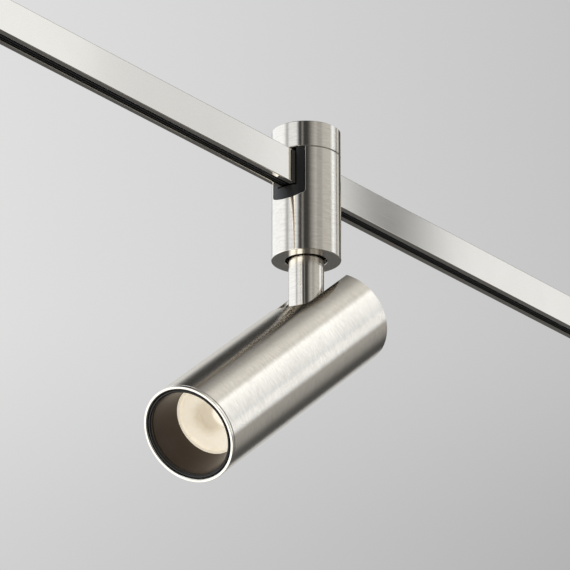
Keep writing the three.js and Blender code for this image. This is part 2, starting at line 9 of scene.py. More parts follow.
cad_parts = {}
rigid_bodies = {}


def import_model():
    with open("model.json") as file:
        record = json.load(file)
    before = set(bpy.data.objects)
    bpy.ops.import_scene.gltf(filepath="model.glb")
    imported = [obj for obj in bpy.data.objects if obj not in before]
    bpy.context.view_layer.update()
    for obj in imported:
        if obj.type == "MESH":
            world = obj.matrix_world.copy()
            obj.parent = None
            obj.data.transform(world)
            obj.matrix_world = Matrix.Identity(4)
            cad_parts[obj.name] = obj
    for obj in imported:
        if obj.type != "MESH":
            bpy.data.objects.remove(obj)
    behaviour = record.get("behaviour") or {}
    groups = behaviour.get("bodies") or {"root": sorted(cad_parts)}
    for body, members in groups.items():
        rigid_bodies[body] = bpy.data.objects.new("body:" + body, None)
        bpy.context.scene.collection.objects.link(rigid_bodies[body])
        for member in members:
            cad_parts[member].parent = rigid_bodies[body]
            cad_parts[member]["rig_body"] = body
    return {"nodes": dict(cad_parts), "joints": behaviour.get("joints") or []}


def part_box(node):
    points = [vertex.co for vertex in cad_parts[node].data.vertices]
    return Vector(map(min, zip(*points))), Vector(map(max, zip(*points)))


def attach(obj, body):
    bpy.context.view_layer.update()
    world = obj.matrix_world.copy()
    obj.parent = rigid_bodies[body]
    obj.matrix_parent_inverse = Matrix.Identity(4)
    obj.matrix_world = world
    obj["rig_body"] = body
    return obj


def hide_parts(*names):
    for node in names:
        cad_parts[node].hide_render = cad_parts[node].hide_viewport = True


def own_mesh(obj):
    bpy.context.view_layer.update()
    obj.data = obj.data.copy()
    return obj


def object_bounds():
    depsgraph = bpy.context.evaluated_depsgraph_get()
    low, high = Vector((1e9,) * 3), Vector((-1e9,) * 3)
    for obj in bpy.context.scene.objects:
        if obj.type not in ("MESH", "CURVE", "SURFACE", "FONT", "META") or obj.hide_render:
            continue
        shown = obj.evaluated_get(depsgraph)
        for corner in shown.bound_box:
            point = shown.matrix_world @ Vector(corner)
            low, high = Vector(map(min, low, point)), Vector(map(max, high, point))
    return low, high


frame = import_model()
cad_box = [list(corner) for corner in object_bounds()]
nodes = frame["nodes"]
scene = bpy.context.scene
scene.view_settings.view_transform = "Standard"

MM = 0.001
SIDES = 128  # round a visible turned piece
ARC_STEPS = 4  # along a rounded edge
FINE_STEPS = 3  # along a small one
TURN_UV = 0.01  # UV length of one radian round the axis
ON_AXIS = 1e-9  # anything nearer to the axis is on it
GRID_PER_METRE = 1e7  # corners that share a cell of this grid are one vertex


# ---- Places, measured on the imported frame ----
def middle(node):
    low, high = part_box(node)
    return (low + high) / 2


def joint(name):
    return next(j for j in frame["joints"] if j["name"] == name)


def frame_at(origin, axis, up):
    """A local frame with Z along axis and X along up."""
    z = axis.normalized()
    x = (up - z * up.dot(z)).normalized()
    y = z.cross(x)
    place = Matrix((x, y, z)).transposed().to_4x4()
    place.translation = origin
    return place


def span(node, place):
    """Lowest and highest corner of a CAD node in a local frame."""
    inverse = place.inverted()
    local = [inverse @ vertex.co for vertex in nodes[node].data.vertices]
    low = Vector([min(p[i] for p in local) for i in range(3)])
    high = Vector([max(p[i] for p in local) for i in range(3)])
    return low, high


def reach(node, place):
    """How far a CAD node reaches from the local Z axis."""
    inverse = place.inverted()
    return max(math.hypot(p.x, p.y) for p in (inverse @ v.co for v in nodes[node].data.vertices))


ADAPTER = Matrix.Identity(4)
PIVOT = Vector(joint("head_tilt")["pos_m"])
HINGE = Vector(joint("head_tilt")["axis"]).normalized()
HEAD_AXIS = (PIVOT - middle("front_bezel")).normalized()
HEAD_UP = HEAD_AXIS.cross(HINGE)
if HEAD_UP.z < 0:
    HEAD_UP.negate()
HEAD = frame_at(PIVOT, HEAD_AXIS, HEAD_UP)


# ---- A closed skin of patches that share their edges, with exact normals ----
class Skin:
    def __init__(self):
        self.index = {}
        self.points = []
        self.faces = []
        self.normals = []
        self.uvs = []

    def vertex(self, point):
        key = tuple(round(c * GRID_PER_METRE) for c in point)
        if key not in self.index:
            self.index[key] = len(self.points)
            self.points.append(tuple(point))
        return self.index[key]

    def face(self, corners):
        """Adds a face from its corners (point, normal, uv), in either order round it."""
        kept = []
        for corner in corners:
            vertex = self.vertex(corner[0])
            if not kept or vertex != kept[-1][0]:
                kept.append((vertex, corner))
        if kept[0][0] == kept[-1][0]:
            kept.pop()
        if len(kept) < 3:
            return
        turn = Vector((0, 0, 0))
        for (_, a), (_, b) in zip(kept, kept[1:] + kept[:1]):
            turn += a[0].cross(b[0])
        facing = sum((corner[1] for _, corner in kept), Vector((0, 0, 0)))
        if turn.dot(facing) < 0:
            kept.reverse()
        self.faces.append([vertex for vertex, _ in kept])
        self.normals.extend(corner[1] for _, corner in kept)
        self.uvs.extend(corner[2] for _, corner in kept)

    def grid(self, rows, closed=False, skip=lambda i, j: False):
        """Quads between neighbouring rows of (point, normal, uv)."""
        for i, (low, high) in enumerate(zip(rows, rows[1:])):
            count = len(low) if closed else len(low) - 1
            for j in range(count):
                if skip(i, j):
                    continue
                k = (j + 1) % len(low)
                self.face([low[j], low[k], high[k], high[j]])

    def make(self, name, material, place=None):
        mesh = bpy.data.meshes.new(name)
        mesh.from_pydata(self.points, [], self.faces)
        layer = mesh.uv_layers.new(name="surface")
        for loop, uv in zip(layer.data, self.uvs):
            loop.uv = uv
        for polygon in mesh.polygons:
            polygon.use_smooth = True
        mesh.normals_split_custom_set([tuple(n.normalized()) for n in self.normals])
        mesh.materials.append(material)
        piece = bpy.data.objects.new(name, mesh)
        scene.collection.objects.link(piece)
        if place is not None:
            piece.matrix_world = place
        return piece


def unit(angle):
    return Vector((math.cos(angle), math.sin(angle), 0))


UP = Vector((0, 0, 1))


def bend(start, corner, end, steps):
    """Points of a rounded corner from start to end."""
    centre = start + end - corner
    points = []
    for i in range(steps + 1):
        t = i / steps * math.pi / 2
        points.append(centre + (start - centre) * math.cos(t) + (end - centre) * math.sin(t))
    return points


def turn_to(first, last, steps):
    """Unit normals that turn from first to last."""
    return [(first * math.cos(t) + last * math.sin(t)).normalized()
            for t in (i / steps * math.pi / 2 for i in range(steps + 1))]


EDGE_SHARE = 0.45  # the most of a side that one rounded corner may take


def rounded(profile, radius, steps=FINE_STEPS, closed=True):
    """A profile of (r, z) corners, anticlockwise, rounded: (r, z, normal r, normal z)."""
    corners = [Vector(p) for p in profile]
    count = len(corners)
    result = []
    for i, here in enumerate(corners):
        before = corners[i - 1]
        after = corners[(i + 1) % count]
        on_axis = abs(here.x) < ON_AXIS
        open_end = not closed and i in (0, count - 1)
        into = (here - before).normalized()
        out = (after - here).normalized()
        normal_in = Vector((into.y, -into.x))
        normal_out = Vector((out.y, -out.x))
        if on_axis:
            flat = normal_out if abs(before.x) < ON_AXIS else normal_in
            result.append((0.0, here.y, 0.0, math.copysign(1, flat.y)))
        elif open_end:
            normal = normal_out if i == 0 else normal_in
            result.append((here.x, here.y, normal.x, normal.y))
        else:
            size = min(radius, EDGE_SHARE * (here - before).length, EDGE_SHARE * (after - here).length)
            first = here - into * size
            second = here + out * size
            centre = first + second - here
            for k in range(steps + 1):
                turn = k / steps * math.pi / 2
                point = centre + (first - centre) * math.cos(turn) + (second - centre) * math.sin(turn)
                normal = (normal_in * math.cos(turn) + normal_out * math.sin(turn)).normalized()
                result.append((point.x, point.y, normal.x, normal.y))
    return result


def ring_row(radius, z, normal_r, normal_z, u, angles):
    """One row of a turned surface: a corner for each angle, the last one repeating the first."""
    row = []
    for angle in angles:
        out = unit(angle)
        row.append((out * radius + UP * z, out * normal_r + UP * normal_z, (u, angle * TURN_UV)))
    return row


def turned_rows(profile, angles):
    """Rows of a turned surface, one for each corner of the profile."""
    rows = []
    u = 0.0
    last = profile[0]
    for r, z, normal_r, normal_z in profile:
        u += math.hypot(r - last[0], z - last[1])
        last = (r, z)
        rows.append(ring_row(r, z, normal_r, normal_z, u, angles))
    return rows


def turned(name, profile, material, place, edge):
    """A solid turned about Z from a closed profile of (r, z) corners."""
    chain = rounded(profile, edge)
    if all(abs(p[0]) > ON_AXIS for p in profile):
        chain.append(chain[0])
    angles = [2 * math.pi * j / SIDES for j in range(SIDES + 1)]
    skin = Skin()
    skin.grid(turned_rows(chain, angles))
    return skin.make(name, material, place)


def roll(skin, loop, direction, size, steps=ARC_STEPS):
    """Rounds the edge from the surface that ends in loop to a flat face. Returns the face's edge."""
    rows = [loop]
    for i in range(1, steps + 1):
        t = i / steps * math.pi / 2
        row = []
        for point, normal, uv in loop:
            moved = point - normal * size * (1 - math.cos(t)) + direction * size * math.sin(t)
            facing = normal * math.cos(t) + direction * math.sin(t)
            row.append((moved, facing.normalized(), (uv[0] + size * t, uv[1])))
        rows.append(row)
    skin.grid(rows)
    return rows[-1]


def facing_all(loop, normal):
    """The same edge, seen as part of a flat face. Its grain runs round the Z axis."""
    flat = []
    for point, _, _ in loop:
        uv = (math.hypot(point.x, point.y), math.atan2(point.y, point.x) * TURN_UV)
        flat.append((point, normal, uv))
    return flat


# ---- Materials ----
def new_material(name):
    material = bpy.data.materials.new(name)
    material.use_nodes = True
    tree = material.node_tree
    shader = next(n for n in tree.nodes if n.type == "BSDF_PRINCIPLED")
    return material, tree, shader


def add(tree, kind, **values):
    node = tree.nodes.new(kind)
    for key, value in values.items():
        setattr(node, key, value)
    return node


def connect(tree, value, socket):
    """Links another node's output to a socket, or sets a plain value on it."""
    if isinstance(value, bpy.types.NodeSocket):
        tree.links.new(value, socket)
    elif value is not None:
        socket.default_value = value


def math_node(tree, operation, first, second=None, clamp=False):
    node = add(tree, "ShaderNodeMath", operation=operation, use_clamp=clamp)
    connect(tree, first, node.inputs[0])
    connect(tree, second, node.inputs[1])
    return node.outputs[0]


def vector_node(tree, operation, first, second):
    """A sum, product, scaling, distance or dot product of vectors."""
    node = add(tree, "ShaderNodeVectorMath", operation=operation)
    connect(tree, first, node.inputs[0])
    connect(tree, second, node.inputs["Scale"] if operation == "SCALE" else node.inputs[1])
    gives_number = operation in ("DOT_PRODUCT", "DISTANCE")
    return node.outputs["Value" if gives_number else "Vector"]


def object_axes(tree):
    coordinates = add(tree, "ShaderNodeTexCoord")
    split = add(tree, "ShaderNodeSeparateXYZ")
    tree.links.new(coordinates.outputs["Object"], split.inputs[0])
    return split.outputs


def combine(tree, x, y, z):
    node = add(tree, "ShaderNodeCombineXYZ")
    for socket, value in zip(node.inputs, (x, y, z)):
        connect(tree, value, socket)
    return node.outputs[0]


def noise(tree, vector, scale, detail=2.0, roughness=0.5):
    node = add(tree, "ShaderNodeTexNoise")
    node.inputs["Scale"].default_value = scale
    node.inputs["Detail"].default_value = detail
    node.inputs["Roughness"].default_value = roughness
    tree.links.new(vector, node.inputs["Vector"])
    return node.outputs[0]


def remap(tree, value, low, high, smooth=False, source=(0.0, 1.0)):
    node = add(tree, "ShaderNodeMapRange")
    node.interpolation_type = "SMOOTHSTEP" if smooth else "LINEAR"
    tree.links.new(value, node.inputs["Value"])
    node.inputs["From Min"].default_value = source[0]
    node.inputs["From Max"].default_value = source[1]
    node.inputs["To Min"].default_value = low
    node.inputs["To Max"].default_value = high
    return node.outputs[0]


def two_tone(tree, factor, first, second, socket):
    node = add(tree, "ShaderNodeMix", data_type="RGBA")
    tree.links.new(factor, node.inputs["Factor"])
    tones = {"A": (*first, 1), "B": (*second, 1)}
    for side in node.inputs:
        if side.type == "RGBA":
            side.default_value = tones[side.name]
    result = next(output for output in node.outputs if output.type == "RGBA")
    tree.links.new(result, socket)


def bump(tree, shader, height, distance, strength):
    node = add(tree, "ShaderNodeBump")
    node.inputs["Distance"].default_value = distance
    node.inputs["Strength"].default_value = strength
    tree.links.new(height, node.inputs["Height"])
    tree.links.new(node.outputs[0], shader.inputs["Normal"])


NICKEL = (0.85, 0.80, 0.72)
NICKEL_DULL = (0.715, 0.668, 0.592)
FINE_LINES = (40, 2600)  # features per metre along the grain and across it
STREAKS = (260, 1500)
STREAK_RANGE = (0.3, 0.7)  # where that noise has nearly all its values
WEAR_SCALE = 55.0
WEAR_TINT = (0.35, 0.65)  # share of the dull tone that wear brings
LINE_SHARE = 0.4  # height of the fine lines against the streaks
BUMP_STRENGTH = 0.6


def grain_of(tree, axes, features, along_x):
    """Places for a noise stretched along the grain. features: per metre along it and across it."""
    def times(first, second):
        return math_node(tree, "MULTIPLY", first, second)

    x, y, z = axes
    along, across = features
    if along_x:
        return combine(tree, times(x, along), times(y, across), times(z, across))
    squares = math_node(tree, "ADD", times(x, x), times(y, y))
    profile = math_node(tree, "ADD", z, math_node(tree, "SQRT", squares))
    return combine(tree, times(x, along), times(y, along), times(profile, across))


def brushed_nickel(name, roughness, anisotropy, streak_depth, speckle, tone=1.0, along_x=False):
    """Brushed metal: the grain runs round the local Z axis, or along X. speckle: how far streaks tint."""
    material, tree, shader = new_material(name)
    axes = object_axes(tree)[0:3]
    lines = noise(tree, grain_of(tree, axes, FINE_LINES, along_x), 1.0, detail=3.0, roughness=0.6)
    streaks = noise(tree, grain_of(tree, axes, STREAKS, along_x), 1.0, detail=4.0, roughness=0.7)
    wear = noise(tree, combine(tree, *axes), WEAR_SCALE, detail=4.0)
    clean = [c * tone for c in NICKEL]
    dull = [c * tone for c in NICKEL_DULL]
    streak_tint = remap(tree, streaks, -speckle, speckle, True, STREAK_RANGE)
    tint = math_node(tree, "ADD", streak_tint, remap(tree, wear, *WEAR_TINT))
    two_tone(tree, tint, clean, dull, shader.inputs["Base Color"])
    spread = roughness / 4
    line_rough = remap(tree, lines, roughness - spread, roughness + spread)
    rough = math_node(tree, "ADD", line_rough, remap(tree, wear, -spread / 2, spread / 2))
    tree.links.new(rough, shader.inputs["Roughness"])
    height = math_node(tree, "ADD", math_node(tree, "MULTIPLY", lines, LINE_SHARE), streaks)
    bump(tree, shader, height, streak_depth, BUMP_STRENGTH)
    shader.inputs["Metallic"].default_value = 1.0
    shader.inputs["Anisotropic"].default_value = anisotropy
    tangent = add(tree, "ShaderNodeTangent", direction_type="UV_MAP", uv_map="surface")
    tree.links.new(tangent.outputs[0], shader.inputs["Tangent"])
    return material


GRAIN_DEPTH = 0.01 * MM
BROAD_SCALE = 90.0
SMOOTHER = 0.05  # how far the roughness goes below its middle value
ROUGHER = 0.07  # and above it


def moulded(name, colour, lighter, roughness, grain=2200.0, metallic=0.0, coat=0.0):
    """Moulded plastic or plain machined metal, with a fine surface grain."""
    material, tree, shader = new_material(name)
    coordinates = add(tree, "ShaderNodeTexCoord").outputs["Object"]
    fine = noise(tree, coordinates, grain)
    broad = noise(tree, coordinates, BROAD_SCALE, detail=4.0)
    two_tone(tree, broad, colour, lighter, shader.inputs["Base Color"])
    rough = remap(tree, broad, roughness - SMOOTHER, roughness + ROUGHER)
    tree.links.new(rough, shader.inputs["Roughness"])
    bump(tree, shader, fine, GRAIN_DEPTH, BUMP_STRENGTH)
    shader.inputs["Metallic"].default_value = metallic
    shader.inputs["Coat Weight"].default_value = coat
    return material


nickel = brushed_nickel("brushed_nickel", 0.16, 0.9, 0.04 * MM, 0.36)
drawn_nickel = brushed_nickel("drawn_nickel", 0.06, 0.5, 0.001 * MM, 0.06, tone=0.91, along_x=True)
black = moulded("black_plastic", (0.0085, 0.0080, 0.0068), (0.0140, 0.0130, 0.0112), 0.5)
insulation = moulded("track_insulation", (0.016, 0.016, 0.015), (0.026, 0.026, 0.025), 0.5)
anodised = moulded("black_anodised", (0.008, 0.0068, 0.0055), (0.013, 0.0108, 0.0090), 0.45)
# Black plastic for the snoot; its brown tint is painted warm light from the lens
baffle = moulded("dark_baffle", (0.040, 0.021, 0.011), (0.060, 0.033, 0.019), 0.30, grain=900.0)
copper = moulded("copper", (0.72, 0.36, 0.20), (0.62, 0.30, 0.17), 0.28, metallic=1.0)
steel = moulded("steel", (0.56, 0.55, 0.53), (0.48, 0.47, 0.46), 0.30, metallic=1.0)
aluminium = moulded("bare_aluminium", (0.60, 0.60, 0.59), (0.52, 0.52, 0.52), 0.40, metallic=1.0)
board = moulded("circuit_board", (0.03, 0.12, 0.05), (0.04, 0.15, 0.06), 0.35, coat=0.3)
lead = moulded("lead_insulation", (0.60, 0.58, 0.54), (0.68, 0.66, 0.62), 0.45)
phosphor = moulded("led_phosphor", (0.85, 0.58, 0.16), (0.80, 0.52, 0.14), 0.55)

LENS_CREAM = (0.74, 0.62, 0.45)
LENS_PALE = (0.86, 0.77, 0.62)
DIMPLE_SCALE = 1100.0
DIMPLE_DEPTH = 0.06 * MM
CLOUD_SCALE = 120.0
PAINTED_GLOW_DIM = (0.37, 0.305, 0.205)
PAINTED_GLOW_BRIGHT = (0.84, 0.78, 0.66)
DIM_SPOT = (0, -2 * MM, 0)  # middle of the dimmer part of the face's painted glow
DIM_INNER = 4.5 * MM
DIM_OUTER = 11 * MM
PAINTED_HIGHLIGHT_SPOT = (0, 6.8 * MM, 0)  # middle of the painted highlight, the brightest patch
PAINTED_HIGHLIGHT_INNER = 4.6 * MM
PAINTED_HIGHLIGHT_OUTER = 6.6 * MM
# Shares of the way from the dim painted glow to the bright one
PAINTED_MIDDLE_GLOW = 0.05
PAINTED_RIM_GLOW = 0.52
PAINTED_HIGHLIGHT_GLOW = 0.7
PAINTED_DIMPLE_GLOW = 0.16


def lens_material():
    """Frosted optic with a painted glow, as if lit from behind: dimples on its face, a painted brighter rim
    and a painted highlight patch.
    """
    material, tree, shader = new_material("lens_optic")
    coordinates = add(tree, "ShaderNodeTexCoord").outputs["Object"]
    cells = add(tree, "ShaderNodeTexVoronoi")
    cells.inputs["Scale"].default_value = DIMPLE_SCALE
    tree.links.new(coordinates, cells.inputs["Vector"])
    dimples = cells.outputs["Distance"]
    clouds = noise(tree, coordinates, CLOUD_SCALE)
    two_tone(tree, clouds, LENS_CREAM, LENS_PALE, shader.inputs["Base Color"])
    bump(tree, shader, dimples, DIMPLE_DEPTH, 0.5)

    def distance_from(spot, inner, outer, low, high):
        """low nearer to the spot than inner, high farther than outer, smooth between them."""
        flat = vector_node(tree, "MULTIPLY", coordinates, (1, 1, 0))
        away = vector_node(tree, "DISTANCE", flat, spot)
        return remap(tree, away, low, high, True, (inner, outer))

    # Painted glow: dimmer in the middle, brighter towards the rim, with painted sparkle from the dimples
    rim = distance_from(DIM_SPOT, DIM_INNER, DIM_OUTER, PAINTED_MIDDLE_GLOW, PAINTED_RIM_GLOW)
    # Painted highlight: a bright patch that stands in for a reflection on the dish
    painted_highlight = distance_from(PAINTED_HIGHLIGHT_SPOT, PAINTED_HIGHLIGHT_INNER, PAINTED_HIGHLIGHT_OUTER, PAINTED_HIGHLIGHT_GLOW, 0.0)
    painted_glow = math_node(tree, "ADD", rim, painted_highlight)
    painted_glow = math_node(tree, "ADD", painted_glow, remap(tree, dimples, -PAINTED_DIMPLE_GLOW, PAINTED_DIMPLE_GLOW), clamp=True)
    two_tone(tree, painted_glow, PAINTED_GLOW_DIM, PAINTED_GLOW_BRIGHT, shader.inputs["Emission Color"])
    shader.inputs["Roughness"].default_value = 0.3
    shader.inputs["Coat Weight"].default_value = 0.4
    shader.inputs["Coat Roughness"].default_value = 0.08
    shader.inputs["Emission Strength"].default_value = 1.0
    return material


lens_optic = lens_material()


# ---- Handing a piece over ----
def settle(piece, body, slot, *replaced):
    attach(piece, body)
    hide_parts(*replaced)


# ---- Rail ----
RAIL_EDGE = 0.4 * MM
CHANNEL_WIDTH = 4.8 * MM
CHANNEL_DEPTH = 12.4 * MM


def rail():
    """The channel section along X, with rounded corners and ends."""
    low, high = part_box("track_rail")
    half = high.y
    channel = CHANNEL_WIDTH / 2
    outline = [
        (-half, low.z), (-channel, low.z), (-channel, low.z + CHANNEL_DEPTH),
        (channel, low.z + CHANNEL_DEPTH), (channel, low.z), (half, low.z),
        (half, high.z), (-half, high.z),
    ]
    outline = rounded(outline, RAIL_EDGE, ARC_STEPS)
    outline.append(outline[0])
    rows = []
    for station in (low.x + RAIL_EDGE / 2, 0.0, high.x - RAIL_EDGE / 2):
        row = []
        length = 0.0
        for k, (y, z, ny, nz) in enumerate(outline):
            if k:
                length += math.hypot(y - outline[k - 1][0], z - outline[k - 1][1])
            row.append((Vector((station, y, z)), Vector((0, ny, nz)), (length, station)))
        rows.append(row)
    skin = Skin()
    skin.grid(rows)
    for row, direction in ((rows[0], Vector((-1, 0, 0))), (rows[-1], Vector((1, 0, 0)))):
        end = roll(skin, row, direction, RAIL_EDGE / 2, FINE_STEPS)
        skin.face([(p, direction, (p.y, p.z)) for p, _, _ in end[:-1]])
    piece = skin.make("rail_shell", drawn_nickel)
    settle(piece, "track", "brushed_nickel", "track_rail")


rail()


# ---- Cylinder walls with an opening cut across them ----
def down_the_hole(points, normals, angle):
    """Corners down the wall of a round hole, at one angle round it."""
    return [(p, n, (i * MM, angle * TURN_UV)) for i, (p, n) in enumerate(zip(points, normals))]


def rim_rib(radius, inner, y, z, ny, nz, size, side, u):
    """Corners from the outer wall, over a rounded edge, down the cut's wall and onto the inner wall."""
    def on_wall(rho, depth_y):
        return side * math.sqrt(rho * rho - depth_y * depth_y)

    edge_y = y + size * ny
    edge_z = z + size * nz
    cut_normal = Vector((0, -ny, -nz))
    outer = Vector((on_wall(radius, edge_y), edge_y, edge_z))
    outer_normal = Vector((outer.x, outer.y, 0)).normalized()
    corner = Vector((on_wall(radius, y), y, z))
    below = corner - Vector((side * size, 0, 0))
    points = bend(outer, corner, below, ARC_STEPS)
    normals = turn_to(outer_normal, cut_normal, ARC_STEPS)
    inside = Vector((on_wall(inner, edge_y), edge_y, edge_z))
    inside_normal = -Vector((inside.x, inside.y, 0)).normalized()
    inside_corner = Vector((on_wall(inner, y), y, z))
    above = inside_corner + Vector((side * size, 0, 0))
    points += bend(above, inside_corner, inside, ARC_STEPS)
    normals += turn_to(cut_normal, inside_normal, ARC_STEPS)
    return [(p, n, (u, i * MM)) for i, (p, n) in enumerate(zip(points, normals))]


HEAD_WALL = 1.6 * MM
HEAD_SLOT_HALF = 12 * MM
HEAD_SLOT_END = -9.6 * MM
HEAD_EDGE = 0.3 * MM
SLOT_EDGE = 0.3 * MM
REAR_EDGE = 0.15 * MM  # less than the slot's edge, so that it can run round it
SLOT_STEPS = 24  # round the slot's closed end
GRUB_HOLE = 1.8 * MM
GRUB_STEPS = 4  # grid cells across the window round the grub screw's hole
HEAD_RIB_UVS = (-10 * MM, 40 * MM)  # UV places of the ribs at the rear, clear of the others


def head_housing():
    """A tube with a slot that is open at the rear, and the grub screw's hole on the far side."""
    low, high = span("head_housing", HEAD)
    radius = reach("head_housing", HEAD)
    inner = radius - HEAD_WALL
    front = low.z
    rear = high.z
    centre = HEAD_SLOT_END + HEAD_SLOT_HALF
    grub_low, grub_high = span("housing_grub_screw", HEAD)
    grub_z = (grub_low.z + grub_high.z) / 2
    skin = Skin()

    outline = []
    for k in range(SLOT_STEPS + 1):
        t = (k / SLOT_STEPS - 0.5) * math.pi
        y = HEAD_SLOT_HALF * math.sin(t)
        z = centre - HEAD_SLOT_HALF * math.cos(t)
        outline.append((y, z, math.sin(t), -math.cos(t)))
    ribs = [rim_rib(radius, inner, y, z, ny, nz, SLOT_EDGE, 1, k * MM)
            for k, (y, z, ny, nz) in enumerate(outline)]
    rear_wall = rear - REAR_EDGE
    first = rim_rib(radius, inner, -HEAD_SLOT_HALF, rear_wall, -1, 0, SLOT_EDGE, 1, HEAD_RIB_UVS[0])
    last = rim_rib(radius, inner, HEAD_SLOT_HALF, rear_wall, 1, 0, SLOT_EDGE, 1, HEAD_RIB_UVS[1])
    skin.grid([first, *ribs, last])

    outside_steps = SIDES - SLOT_STEPS

    def wall(rho, facing):
        """One face of the tube. Returns its front rows, its rear row and the window's border."""
        slot_angles = [math.asin((y + SLOT_EDGE * ny) / rho) for y, _, ny, _ in outline]
        start = slot_angles[-1]
        turn = 2 * math.pi - 2 * start
        outside = [start + turn * j / outside_steps for j in range(outside_steps + 1)]
        window = GRUB_STEPS // 2
        half = rho * abs(outside[1] - outside[0]) * window
        stations = [front + HEAD_EDGE]
        stations += [grub_z + half * (i / window - 1) for i in range(GRUB_STEPS + 1)]
        slotted = [ring_row(rho, z, facing, 0, z, slot_angles) for z in stations]
        end_row = []
        for a, (_, z, _, nz) in zip(slot_angles, outline):
            end_z = z + SLOT_EDGE * nz
            end_row.append((unit(a) * rho + UP * end_z, unit(a) * facing, (end_z, a * TURN_UV)))
        skin.grid([*slotted, end_row])
        stations += [centre, rear_wall]
        rows = [ring_row(rho, z, facing, 0, z, outside) for z in stations]
        first_column = outside_steps // 2 - window
        columns = range(first_column, first_column + GRUB_STEPS)
        skin.grid(rows, skip=lambda i, j: 1 <= i <= GRUB_STEPS and j in columns)
        lower = 1
        upper = 1 + GRUB_STEPS
        left = first_column
        right = first_column + GRUB_STEPS
        border = [rows[lower][j] for j in range(left, right)]
        border += [rows[i][right] for i in range(lower, upper)]
        border += [rows[upper][j] for j in range(right, left, -1)]
        border += [rows[i][left] for i in range(upper, lower, -1)]
        return slotted[0], rows[0], rows[-1], border

    outer_slot, outer_rest, outer_rear, outer_window = wall(radius, 1)
    inner_slot, inner_rest, inner_rear, inner_window = wall(inner, -1)

    hole = []
    for outer_corner, inner_corner in zip(outer_window, inner_window):
        y = outer_corner[0].y
        z = outer_corner[0].z - grub_z
        length = math.hypot(y, z)
        ny = y / length
        nz = z / length
        hole_y = ny * GRUB_HOLE
        hole_z = grub_z + nz * GRUB_HOLE
        rib = rim_rib(radius, inner, hole_y, hole_z, ny, nz, SLOT_EDGE / 2, -1, 0.0)
        hole.append([outer_corner, *rib, inner_corner])
    hole.append(hole[0])
    skin.grid(hole)

    outer_front = outer_slot + outer_rest[1:]
    inner_front = inner_slot + inner_rest[1:]
    outer_face = roll(skin, outer_front, -UP, HEAD_EDGE)
    inner_face = roll(skin, inner_front, -UP, HEAD_EDGE)
    skin.grid([facing_all(outer_face, -UP), facing_all(inner_face, -UP)])

    outer_end = roll(skin, outer_rear, UP, REAR_EDGE)
    inner_end = roll(skin, inner_rear, UP, REAR_EDGE)
    skin.grid([facing_all(outer_end, UP), facing_all(inner_end, UP)])
    for rib in (first, last):
        end = roll(skin, rib, UP, REAR_EDGE)
        skin.face(facing_all(end, UP))
    piece = skin.make("housing_shell", nickel, HEAD)
    settle(piece, "head", "brushed_nickel", "head_housing")


head_housing()


BEZEL_CHAMFER = 0.4 * MM
BEZEL_EDGE = 0.2 * MM


def front_bezel():
    low, high = span("front_bezel", HEAD)
    radius = reach("front_bezel", HEAD)
    inner = radius - HEAD_WALL
    profile = [
        (inner, high.z), (inner, low.z + BEZEL_CHAMFER), (inner + BEZEL_CHAMFER, low.z), (radius, low.z),
        (radius, high.z),
    ]
    piece = turned("bezel_ring", profile, nickel, HEAD, BEZEL_EDGE)
    settle(piece, "head", "brushed_nickel", "front_bezel")


front_bezel()


# ---- Optics ----
RING_WIDTH = 1.5 * MM
RING_BEVEL = 0.5 * MM
RING_EDGE = 0.12 * MM
SNOOT_WALL = 1.1 * MM
SNOOT_MOUTH = 21.0 * MM
SNOOT_THROAT = 17.5 * MM
SNOOT_EDGE = 0.25 * MM
LENS_FACE = 16.0 * MM
LENS_BOWL = 2.6 * MM  # depth of the dish in the face
LENS_FLAT = 6.5 * MM  # half width of the dish's floor
LENS_LIP = 1.2 * MM  # width of the slope round the dish
LENS_LIP_FOOT = 0.9 * MM
LENS_LIP_TOP = 0.4 * MM
LENS_FLANGE = 2.0 * MM
LENS_POCKET = 3.6 * MM  # half width of the hollow over the light source
LENS_POCKET_DEPTH = 4.0 * MM
LENS_EDGE = 0.4 * MM


def optics():
    low, high = span("retaining_ring", HEAD)
    radius = reach("retaining_ring", HEAD)
    inner = radius - RING_WIDTH
    profile = [
        (inner, low.z + RING_BEVEL), (inner + RING_BEVEL, low.z), (radius - RING_BEVEL, low.z),
        (radius, low.z + RING_BEVEL), (radius, high.z), (inner, high.z),
    ]
    piece = turned("retaining_ring_black", profile, anodised, HEAD, RING_EDGE)
    settle(piece, "head", "black_anodised", "retaining_ring")

    low, high = span("snoot", HEAD)
    flange = reach("snoot", HEAD)
    shoulder = low.z + SNOOT_WALL
    profile = [
        (SNOOT_MOUTH, low.z), (flange, low.z), (flange, shoulder), (SNOOT_MOUTH + SNOOT_WALL, shoulder),
        (SNOOT_THROAT + SNOOT_WALL, high.z), (SNOOT_THROAT, high.z),
    ]
    piece = turned("snoot_cone", profile, baffle, HEAD, SNOOT_EDGE)
    settle(piece, "head", "dark_baffle", "snoot")

    low, high = span("lens", HEAD)
    rim = reach("lens", HEAD)
    floor_z = low.z + LENS_BOWL
    back = low.z + LENS_FLANGE
    pocket = high.z - LENS_POCKET_DEPTH
    profile = [
        (0, floor_z), (LENS_FLAT, floor_z), (LENS_FACE - LENS_LIP, low.z + LENS_LIP_FOOT),
        (LENS_FACE, low.z + LENS_LIP_TOP), (LENS_FACE, low.z), (rim, low.z), (rim, back),
        (LENS_FACE, back), (LENS_FLAT, high.z), (LENS_POCKET, high.z), (LENS_POCKET, pocket), (0, pocket),
    ]
    piece = turned("lens_disc", profile, lens_optic, HEAD, LENS_EDGE)
    settle(piece, "head", "lens_optic", "lens")


optics()


